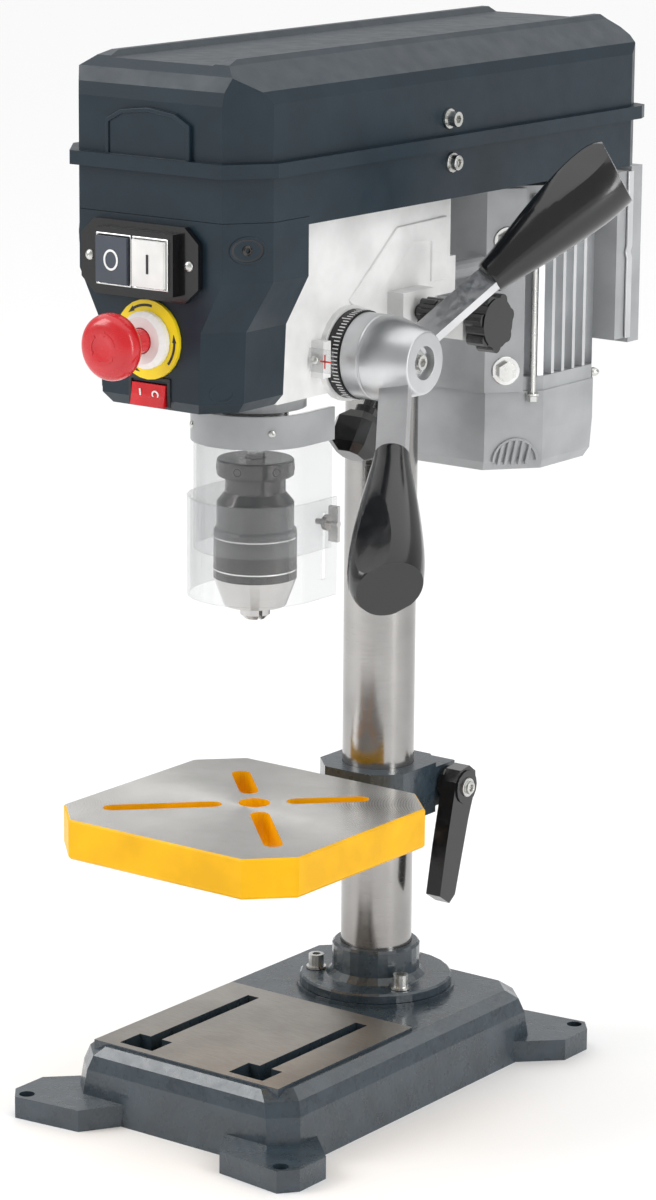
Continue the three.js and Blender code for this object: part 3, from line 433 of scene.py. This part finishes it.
def rectangle(x0, x1, y0, y1):
    return [(x0, y0), (x1, y0), (x1, y1), (x0, y1)]


def piece(name, mesh, material, body, edge_mm=0.0, degrees=34):
    """Turns a bmesh in millimetres into an object that rides on a body."""
    bmesh.ops.recalc_face_normals(mesh, faces=mesh.faces)
    bmesh.ops.scale(mesh, vec=(MM, MM, MM), verts=mesh.verts)
    data = bpy.data.meshes.new(name)
    mesh.to_mesh(data)
    mesh.free()
    data.materials.append(material)
    obj = bpy.data.objects.new(name, data)
    bpy.context.scene.collection.objects.link(obj)
    smooth(obj, degrees)
    if edge_mm:
        bevel(obj, edge_mm, 2)
    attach(obj, body)
    return obj


def socket_head(mesh, place, radius=4.6, height=4, washer=1.35, spigot=-0.4):
    """A cap screw with a washer and a round socket."""
    turned(mesh, [
        (0, spigot), (radius * washer, spigot), (radius * washer, 0.9), (radius * washer - 0.4, 1.2),
        (radius, 1.2), (radius, height - 0.5), (radius - 0.5, height),
        (radius * 0.56, height), (radius * 0.5, height - 0.5),
        (radius * 0.5, height - 2.4), (0, height - 2.4),
    ], place, 32)


def pan_head(mesh, place, radius=3.0, height=1.9):
    """A small domed screw with a shallow dip in the middle."""
    dome = [(0, -0.5), (radius, -0.5), (radius, 0.3)]
    for step in range(1, 6):
        angle = math.pi / 2 * step / 6
        dome.append((radius * math.cos(angle), 0.3 + (height - 0.3) * math.sin(angle)))
    dome += [(radius * 0.2, height), (0, height - 0.9)]
    turned(mesh, dome, place, 28)


def hexagon_head(mesh, place, across=11, height=5, washer=8.2):
    """A hexagon bolt head on a plain washer."""
    turned(mesh, [(0, -0.4), (washer, -0.4), (washer, 1.0), (washer - 0.4, 1.3), (0, 1.3)], place, 36)
    outline = [on_circle(across / math.sqrt(3), 60 * i + 15) for i in range(6)]
    slab(mesh, outline, 1.3, 1.3 + height, place)


# ---- feed handles ------------------------------------------------------------
LEVER_X = 82
LEVER_LEAN = 25.6
LEVER_ANGLES = (43.2, 223.2)
GRIP_START = 74
GRIP_END_CUT = 177
GRIP_END_TILT = 20
GRIP_HALF_THICK = 17.9


def lever_frame(angle):
    """The lever's length is local Y."""
    turn = Matrix.Rotation(math.radians(angle), 4, "X")
    lean = Matrix.Rotation(-math.radians(LEVER_LEAN), 4, "Z")
    return Matrix.Translation((LEVER_X, FEED_Y, FEED_Z)) @ turn @ lean


def spline(t, p, q, r, s):
    """A value between q and r on a Catmull-Rom curve."""
    square = 2 * p - 5 * q + 4 * r - s
    cube = 3 * q - p - 3 * r + s
    return 0.5 * (2 * q + (r - p) * t + square * t * t + cube * t ** 3)


def through(points, steps=5):
    """A smooth line through the points."""
    line = []
    padded = [points[0]] + list(points) + [points[-1]]
    for a, b, c, d in zip(padded, padded[1:], padded[2:], padded[3:]):
        for step in range(steps):
            t = step / steps
            line.append(tuple(spline(t, *values) for values in zip(a, b, c, d)))
    line.append(tuple(points[-1]))
    return line


def cut_flat(mesh, point, normal):
    """Cuts off what lies beyond a plane and closes the cut."""
    parts = mesh.verts[:] + mesh.edges[:] + mesh.faces[:]
    cut = bmesh.ops.bisect_plane(mesh, geom=parts, plane_co=point, plane_no=normal, clear_outer=True)
    edges = [e for e in cut["geom_cut"] if isinstance(e, bmesh.types.BMEdge)]
    bmesh.ops.holes_fill(mesh, edges=edges)


def feed_grips():
    swell = through([
        (10.4, GRIP_START + 1.2), (11.6, 84), (14.2, 98), (17.4, 116), (20.3, 136), (22.0, 154), (21.9, 168),
        (20.4, 176), (17.4, 181), (13.0, 184),
    ])
    profile = [(0, GRIP_START), (9.2, GRIP_START), (10.0, GRIP_START + 0.4)] + swell + [(0, 185)]
    tilt = math.radians(GRIP_END_TILT)
    for index, angle in enumerate(LEVER_ANGLES):
        mesh = bmesh.new()
        turned(mesh, profile, Matrix.Rotation(math.radians(-90), 4, "X"), 64)
        cut_flat(mesh, (0, GRIP_END_CUT, 0), (math.sin(tilt), math.cos(tilt), 0))
        for side in (-1, 1):
            cut_flat(mesh, (0, 112, side * GRIP_HALF_THICK), (0, -0.025, side))
        bmesh.ops.transform(mesh, matrix=lever_frame(angle), verts=mesh.verts)
        grip = piece(f"grip_{index + 1}", mesh, BLACK, "feed", 2.2, 26)
        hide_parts(f"feed_grip_{index + 1}")


# ---- dial and pointer --------------------------------------------------------
DIAL_RADIUS = 27
DIAL_TICKS = 72
LONG_TICK_EVERY = 6
TICK_END = 57.4


def dial_marks():
    mesh = bmesh.new()
    for i in range(DIAL_TICKS):
        turn = Matrix.Rotation(2 * math.pi * i / DIAL_TICKS, 4, "Z")
        start = 51.0 if i % LONG_TICK_EVERY == 0 else 53.4
        tick = turn @ Matrix.Translation((DIAL_RADIUS, 0, 0))
        outline = rectangle(-0.2, 0.12, -0.33, 0.33)
        slab(mesh, outline, start, TICK_END, at(0, FEED_Y, FEED_Z, SIDE) @ tick)
    piece("dial_marks", mesh, WHITE_MARK, "depth_dial")


def pointer_details():
    face = corners_mm("depth_pointer")[0].y
    middle = centre_mm("depth_pointer").z
    line = bmesh.new()
    slab(line, rectangle(53.5, 61.6, -0.5, 0.5), 0, 0.25, at(0, face, middle, FRONT))
    slab(line, rectangle(56.6, 57.5, -4.2, 4.2), 0, 0.25, at(0, face, middle, FRONT))
    piece("pointer_line", line, RED_MARK, "stand")
    screw = bmesh.new()
    pan_head(screw, at(49.6, face, middle, FRONT), 2.7, 1.8)
    piece("pointer_screw", screw, ZINC, "stand", 0.2)


# ---- switches ----------------------------------------------------------------
def switch_details():
    stop = bmesh.new()
    rim(stop, oval(5.4, 6.2), oval(4.1, 4.9), 0, 0.35, at(STOP_X, BUTTON_FACE, SWITCH_Z, FRONT))
    piece("off_symbol", stop, WHITE_MARK, "stop_button", 0.1)
    start = bmesh.new()
    slab(start, rectangle(-0.8, 0.8, -5.6, 5.6), 0, 0.35, at(START_X, BUTTON_FACE, SWITCH_Z, FRONT))
    piece("on_symbol", start, MATT_BLACK, "start_button", 0.1)
    frames = bmesh.new()
    outer = rectangle(-13.1, 13.1, -15.2, 15.2)
    inner = rectangle(-12.0, 12.0, -14.0, 14.0)
    for x in (STOP_X, START_X):
        rim(frames, outer, inner, -0.5, 1.3, at(x, BOX_FRONT - 10, SWITCH_Z, FRONT))
    piece("switch_frames", frames, CHROME, "stand", 0.5)
    screws = bmesh.new()
    for x in (-41.2, 32.2):
        pan_head(screws, at(x, BOX_FRONT - 4.3, SWITCH_Z, FRONT), 3.2, 2.0)
    piece("switch_screws", screws, ZINC, "stand", 0.2)


def pocket(cup, dark, x, z, y, half_x, half_z, normal):
    """A moulded screw pocket: a soft rim round a black dish that paints the shade inside the recess."""
    place = facing(x, y, z, normal)
    rim(cup, oval(half_x + 1.6, half_z + 1.6), oval(half_x, half_z), -0.8, 0.5, place)
    turned(dark, [(0, -0.8), (1, -0.8), (1, 0.12), (0.55, -0.35), (0, -0.45)],
           place @ Matrix.Diagonal((half_x, half_z, 1, 1)), 32)


def box_pockets():
    cup = bmesh.new()
    dark = bmesh.new()
    screws = bmesh.new()
    for side in (-1, 1):
        pocket(cup, dark, side * 62.0, 557, -218.9, 9.5, 6.6, (side * 0.8, -0.6, 0))
        pocket(cup, dark, side * 44.6, 472.5, -220.6, 6.2, 4.2, (side * 0.77, -0.64, -0.02))
        socket_head(screws, facing(side * 61.6, -218.6, 557, (side * 0.8, -0.6, 0)), 2.6, 1.6, 1.2, -1.0)
    piece("pocket_rims", cup, HOUSING, "stand", 0.5)
    # The black wells are painted shade: they stand in for the dark inside each recess.
    piece("pocket_painted_shade", dark, MATT_BLACK, "stand")
    piece("pocket_screws", screws, DARK, "stand", 0.2)


ARROW_DEGREES = 14


def arc_band(radius, width, start, end, steps=14):
    """A curved band that ends in an arrow head."""
    angles = [start + (end - start) * step / steps for step in range(steps + 1)]
    outer = [on_circle(radius + width / 2, angle) for angle in angles]
    inner = [on_circle(radius - width / 2, angle) for angle in reversed(angles)]
    tip = on_circle(radius, end + ARROW_DEGREES)
    return outer + [on_circle(radius + width, end), tip, on_circle(radius - width, end)] + inner


def stop_details():
    arrows = bmesh.new()
    place = at(0, BOX_FRONT - 43.3, ESTOP_Z, FRONT)
    for start in (10, 130, 250):
        slab(arrows, arc_band(8.6, 1.7, start, start + 68), -0.2, 0.4, place)
    piece("estop_arrows", arrows, RED, "estop_button", 0.12)
    marks = bmesh.new()
    for start in (200, 320, 80):
        slab(marks, arc_band(20.2, 1.5, start, start + 40), 0, 0.15, at(0, BOX_FRONT - 2.6, ESTOP_Z, FRONT))
    piece("estop_disc_arrows", marks, MATT_BLACK, "stand")
    frame = bmesh.new()
    outline = [
        (-15.4, -6.4), (-13.2, -6.4), (-13.2, 8.6), (13.2, 8.6), (13.2, -6.4), (15.4, -6.4), (15.4, 10.8),
        (-15.4, 10.8),
    ]
    slab(frame, outline, -0.6, 1.1, at(0, BOX_FRONT - 0.1, ROCKER_Z, FRONT))
    piece("rocker_frame", frame, MATT_BLACK, "stand", 0.5)
    symbols = bmesh.new()
    tilt = (0, -1, -0.18)
    rim(symbols, oval(2.5, 2.5), oval(1.7, 1.7), -0.3, 0.3, facing(5.6, -233.3, 469, tilt))
    slab(symbols, rectangle(-0.5, 0.5, -2.6, 2.6), -0.3, 0.3, facing(-5.6, -233.3, 469, tilt))
    piece("rocker_symbols", symbols, WHITE_MARK, "light_rocker")


# ---- castings and fasteners -------------------------------------------------
def casting_ribs():
    mesh = bmesh.new()
    outline = [
        (-98.3, 511.5), (-49.7, 550.6), (3, 552), (3, 512.5), (-13, 512.5), (-13, 538), (-32.7, 539.7),
        (-78, 503.7), (-90, 503.7),
    ]
    for x, low, high in ((45, -0.6, 1.3), (-45, -1.3, 0.6)):
        slab(mesh, outline, low, high, at(x, 0, 0, SIDE))
    piece("casting_ribs", mesh, CASTING, "stand", 1.1)


def rear_rail():
    rail = bmesh.new()
    screws = bmesh.new()
    blocks = bmesh.new()
    for side in (-1, 1):
        low, high = sorted((side * 26, side * 44))
        slab(rail, rectangle(low, high, 6, 80), 562.9, 567.8, at(0, 0, 0))
        slab(blocks, rectangle(44, 62, 563.2, 567.6), -0.3, 0.5, at(side * 44.1, 0, 0, SIDE))
        pan_head(screws, facing(side * 44.6, 53, 565.2, (side, 0, 0)), 1.8, 1.6)
    piece("tray_rails", rail, CASTING, "stand", 0.8)
    piece("tray_rail_blocks", blocks, MATT_BLACK, "stand", 0.2)
    piece("tray_rail_screws", screws, ZINC, "stand", 0.2)


def loose_screws():
    mesh = bmesh.new()
    socket_head(mesh, facing(71.3, -29, 590, (1, 0, 0)), 4.6, 5.4)
    piece("tray_screw", mesh, ZINC, "stand", 0.3)
    mesh = bmesh.new()
    socket_head(mesh, facing(50.2, 29, 180, (1, 0, 0)), 4.2, 3.4, 1.5)
    piece("clamp_lever_screw", mesh, ZINC, "table_clamp", 0.3)


MOTOR_BOLT_HEIGHTS = (446, 529)
TIE_ROD_X = 57.6
TIE_ROD_Y = 84.2
VENT_RADIUS = 14.5
VENT_SLATS = 5
VENT_PITCH = 4.6
VENT_LEAN = 3.0


def wing_normal(side, back=-1):
    """Out of one of the motor's slanted faces; back is 1 for the rear pair."""
    return (side * 0.773, back * 0.635, 0)


def motor_fasteners():
    bolts = bmesh.new()
    washers = bmesh.new()
    for z in MOTOR_BOLT_HEIGHTS:
        hexagon_head(bolts, facing(-47.95, 67.5, z, wing_normal(-1)))
        turned(washers, [(0, 0), (9.2, 0), (9.2, 0.6), (8.8, 0.9), (0, 0.9)],
               facing(47.8, 67.65, z, wing_normal(1)), 36)
    piece("motor_bolts_left", bolts, ZINC, "motor", 0.4)
    piece("motor_washers", washers, CHROME, "motor")
    rods = bmesh.new()
    for side in (-1, 1):
        turned(rods, [(0, 427), (2.0, 427), (2.0, 558), (0, 558)], at(side * TIE_ROD_X, TIE_ROD_Y, 0), 20)
        upside_down = Matrix.Rotation(math.pi, 4, "X")
        hexagon_head(rods, at(side * TIE_ROD_X, TIE_ROD_Y, 430, upside_down), 7, 3.6, 4.4)
    piece("motor_tie_rods", rods, ZINC, "motor", 0.25)


def cap_vents():
    """Leaning slats under a round arch, on both front slants of the lower cap."""
    vents = bmesh.new()
    for side in (-1, 1):
        place = facing(side * 48.6, 75.2, 386, wing_normal(side))
        for i in range(VENT_SLATS):
            x = (i - VENT_SLATS // 2) * VENT_PITCH
            top = math.sqrt(VENT_RADIUS ** 2 - x * x)
            outline = [(x - 1.1, -2), (x + 1.1, -2), (x + 1.1 + VENT_LEAN, top), (x - 1.1 + VENT_LEAN, top)]
            slab(vents, outline, -1.4, 1.3, place)
        arch = []
        for radius, steps in ((VENT_RADIUS + 0.9, range(25)), (VENT_RADIUS - 0.9, range(24, -1, -1))):
            for step in steps:
                x, y = on_circle(radius, 180 * step / 24)
                arch.append((x + 2.2, y))
        slab(vents, arch, -1.4, 1.0, place)
    piece("cap_vents", vents, GREY, "motor", 0.5)
    screws = bmesh.new()
    for side in (-1, 1):
        pan_head(screws, facing(side * 58.1, 153.2, 434.5, wing_normal(side, 1)), 3.0, 4.6)
    piece("cap_screws", screws, ZINC, "motor", 0.2)


def terminal_box_trim():
    bands = bmesh.new()
    outline = [
        (189.5, 452), (195.5, 452), (195.5, 505), (193.8, 509), (195.5, 513), (195.5, 562),
        (189.5, 562), (189.5, 513), (187.8, 509), (189.5, 505),
    ]
    for x, low, high in ((-59.3, -0.8, 0.6), (59.3, -0.6, 0.8)):
        slab(bands, outline, low, high, at(x, 0, 0, SIDE))
    piece("terminal_box_bands", bands, FIN, "motor", 0.4)
    screws = bmesh.new()
    face = corners_mm("terminal_box")[1].y
    for x in (-50, 50):
        for z in (458, 556):
            pan_head(screws, facing(x, face, z, (0, 1, 0)), 3.2, 2.0)
    piece("terminal_box_screws", screws, ZINC, "motor", 0.2)


GUARD_BAND_RADIUS = 39.5
GUARD_BAND_BOTTOM = 427
GUARD_TOP = 447
GUARD_BACK = 27
CHUCK_KEY_Z = 409.6


def round_spindle(radius, degrees, z):
    """A place on a circle about the spindle, facing outwards."""
    x, y = on_circle(1, degrees)
    return facing(radius * x, SPINDLE_Y + radius * y, z, (x, y, 0))


def guard_details():
    screws = bmesh.new()
    for degrees in (-38, -128):
        pan_head(screws, round_spindle(GUARD_BAND_RADIUS, degrees, GUARD_BAND_BOTTOM + 10), 2.4, 1.4)
    piece("guard_band_screws", screws, ZINC, "guard", 0.2)
    block = bmesh.new()
    slab(block, rectangle(-47.4, -39.2, 8, 17), 429, 447.2, at(0, SPINDLE_Y, 0))
    piece("guard_hinge_block", block, MATT_BLACK, "guard", 0.8)


def chuck_details():
    # Black discs paint the shade inside the six chuck key holes.
    holes = bmesh.new()
    for i in range(6):
        turned(holes, [(0, -0.6), (2.6, -0.6), (2.6, 0.15), (2.1, 0.1), (1.9, -0.4), (0, -0.4)],
               round_spindle(23.55, 60 * i - 80, CHUCK_KEY_Z), 24)
    piece("chuck_key_hole_painted_shade", holes, MATT_BLACK, "spindle")
    bands = bmesh.new()
    for low, high in ((366.6, 367.4), (346.6, 347.4)):
        profile = [(25.3, low), (25.75, low), (25.75, high), (25.3, high), (25.3, low)]
        turned(bands, profile, at(0, SPINDLE_Y, 0), 64)
    piece("chuck_sleeve_bands", bands, CHROME, "chuck_sleeve")


def cover_badge():
    """A blank raised nameplate frame on the front of the cover."""
    front = BOX_FRONT - 1.6
    outer = [(-31, 604.8), (31, 604.8), (31, 627), (20, 633), (0, 635.4), (-20, 633), (-31, 627)]
    inner = [
        (-28.6, 607.2), (28.6, 607.2), (28.6, 625.4), (18.8, 630.7), (0, 632.9), (-18.8, 630.7), (-28.6, 625.4),
    ]
    mesh = bmesh.new()
    rim(mesh, outer, inner, -0.4, 1.0, at(0, front, 0, FRONT))
    piece("badge_frame", mesh, HOUSING, "cover", 0.5)


# ---- smooth turned parts, in place of the coarse CAD rounds -------------------
def replace_turned(node, name, profile, place, material, body, edge_mm=0.0, segments=96):
    mesh = bmesh.new()
    turned(mesh, profile, place, segments)
    obj = piece(name, mesh, material, body, edge_mm, 30)
    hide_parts(node)


def stop_head():
    head = through([
        (4.5, 43.0), (9, 43.4), (13.4, 43.0), (16.8, 41.6), (19.0, 38.9), (19.7, 35.2), (19.1, 31.6),
        (16.6, 28.6), (11.6, 26.8), (8.3, 24.4), (7.4, 20.5),
    ], 4)
    profile = [(0, 43.0)] + head + [(7.4, -9), (0, -9)]
    replace_turned("estop_button", "estop_head", profile, at(0, BOX_FRONT, ESTOP_Z, FRONT), RED,
                   "estop_button")


def round_column():
    low, high = [corner.z for corner in corners_mm("column_tube")]
    profile = [(19, low), (23, low), (23, high), (19, high), (19, low)]
    replace_turned("column_tube", "round_column", profile, at(0, 0, 0), GROUND, "stand")


def turned_hub():
    profile = [
        (9.3, 58.3), (26, 58.3), (26, 70.5), (25.2, 71), (25.2, 72), (26.2, 72.5), (25.6, 80),
        (19.2, 101.5), (18.2, 102.5), (10, 102.5), (10, 95.5), (4.6, 95.5), (4.6, 81.5), (9.3, 81.5),
        (9.3, 58.3),
    ]
    place = at(0, FEED_Y, FEED_Z, SIDE)
    replace_turned("feed_hub", "turned_hub", profile, place, ALUMINIUM, "feed", 0.4)


def turned_chuck():
    place = at(0, SPINDLE_Y, 0)
    body = [
        (0, 380), (13, 380), (13, 345), (18.6, 345), (18.6, 372.2), (23.7, 372.2), (23.7, 388.1),
        (18.5, 394.4), (18.5, 403.6), (22.6, 404.2), (23.6, 405.2), (23.6, 414), (22.6, 415),
        (6.4, 415), (6.4, 392), (0, 392),
    ]
    replace_turned("chuck_body", "turned_chuck_body", body, place, DARK, "spindle", 0.4)


def half_loop(radius, steps=48):
    """Half a circle, with straight ends that run to the guard's open back."""
    arc = [on_circle(radius, -180 * step / steps) for step in range(steps + 1)]
    return [(radius, GUARD_BACK)] + arc + [(-radius, GUARD_BACK)]


def curved_wall(node, name, outer, thick, low, high, material):
    """A smooth U-shaped wall about the spindle, open to the rear."""
    outline = half_loop(outer) + half_loop(outer - thick)[::-1]
    mesh = bmesh.new()
    slab(mesh, outline, low, high, at(0, SPINDLE_Y, 0))
    if node == "guard_band":
        slab(mesh, rectangle(-47, -38, 17, 33), low, high, at(0, SPINDLE_Y, 0))
        turned(mesh, [(0, 446), (3, 446), (3, 457.7), (0, 457.7)], at(-42.5, SPINDLE_Y + 25, 0), 24)
    obj = piece(name, mesh, material, "guard", 0.0, 30)
    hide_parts(node)


def smooth_guard():
    curved_wall("guard_band", "curved_band", GUARD_BAND_RADIUS, 1.5, GUARD_BAND_BOTTOM, GUARD_TOP, GREY)
    curved_wall("guard_upper_shield", "curved_shield", 37.7, 1.8, 360, GUARD_TOP, CLEAR)


def add_details():
    stop_head()
    round_column()
    turned_hub()
    turned_chuck()
    smooth_guard()
    feed_grips()
    dial_marks()
    pointer_details()
    switch_details()
    box_pockets()
    stop_details()
    casting_ribs()
    rear_rail()
    loose_screws()
    motor_fasteners()
    cap_vents()
    terminal_box_trim()
    guard_details()
    chuck_details()
    cover_badge()


# ---- stage ----------------------------------------------------------------
CAMERA_PLACE = (1.43958, -1.9995, 0.89246)
CAMERA_DEGREES = (36.52, 13.49, 0.45)
CAMERA_LENS = 119.205
CAMERA_SENSOR = 36


def camera():
    azimuth, elevation, roll = [math.radians(angle) for angle in CAMERA_DEGREES]
    back = Vector((
        math.sin(azimuth) * math.cos(elevation),
        -math.cos(azimuth) * math.cos(elevation),
        math.sin(elevation),
    ))
    right = Vector((0, 0, 1)).cross(back).normalized()
    up = back.cross(right)
    turned_right = math.cos(roll) * right + math.sin(roll) * up
    turned_up = -math.sin(roll) * right + math.cos(roll) * up
    turn = Matrix((turned_right, turned_up, back)).transposed()
    data = bpy.data.cameras.new("camera")
    data.lens = CAMERA_LENS
    data.sensor_width = CAMERA_SENSOR
    data.clip_end = 50
    obj = bpy.data.objects.new("camera", data)
    obj.matrix_world = Matrix.Translation(CAMERA_PLACE) @ turn.to_4x4()
    bpy.context.scene.collection.objects.link(obj)
    bpy.context.scene.camera = obj


FLOOR_HALF = 12


def floor():
    mesh = bpy.data.meshes.new("floor")
    corners = [(x, y, 0) for x, y in rectangle(-FLOOR_HALF, FLOOR_HALF, -FLOOR_HALF, FLOOR_HALF)]
    mesh.from_pydata(corners, [], [(0, 1, 2, 3)])
    look = Look("floor_white", (0.93, 0.93, 0.93), 0.6)
    mesh.materials.append(look.material)
    obj = bpy.data.objects.new("floor", mesh)
    bpy.context.scene.collection.objects.link(obj)


def area_light(name, place, target, size, power):
    data = bpy.data.lights.new(name, "AREA")
    data.shape = "RECTANGLE"
    data.size, data.size_y = size
    data.energy = power
    lamp = bpy.data.objects.new(name, data)
    lamp.location = place
    lamp.rotation_euler = (Vector(target) - Vector(place)).to_track_quat("-Z", "Y").to_euler()
    bpy.context.scene.collection.objects.link(lamp)


def studio():
    world = bpy.data.worlds.new("studio")
    world.use_nodes = True
    tree = world.node_tree
    fill = tree.nodes["Background"]
    fill.inputs["Color"].default_value = (1, 1, 1, 1)
    fill.inputs["Strength"].default_value = 0.5
    seen = tree.nodes.new("ShaderNodeBackground")
    seen.inputs["Color"].default_value = (1, 1, 1, 1)
    ray = tree.nodes.new("ShaderNodeLightPath")
    pick = tree.nodes.new("ShaderNodeMixShader")
    tree.links.new(ray.outputs["Is Camera Ray"], pick.inputs["Fac"])
    tree.links.new(fill.outputs["Background"], pick.inputs[1])
    tree.links.new(seen.outputs["Background"], pick.inputs[2])
    tree.links.new(pick.outputs["Shader"], tree.nodes["World Output"].inputs["Surface"])
    bpy.context.scene.world = world
    bpy.context.scene.view_settings.view_transform = "Standard"
    area_light("key", (-1.5, -1.6, 1.7), (0, -0.05, 0.3), (0.9, 1.6), 26)
    area_light("side", (2.0, -0.2, 1.0), (0, 0, 0.35), (0.35, 1.8), 15)
    sun = bpy.data.lights.new("overhead", "SUN")
    sun.energy = 1.75
    sun.angle = math.radians(100)
    lamp = bpy.data.objects.new("overhead", sun)
    lamp.rotation_euler = (math.radians(-14), math.radians(-10), 0)
    bpy.context.scene.collection.objects.link(lamp)


dress_nodes()
machined_faces()
add_details()
camera()
floor()
studio()
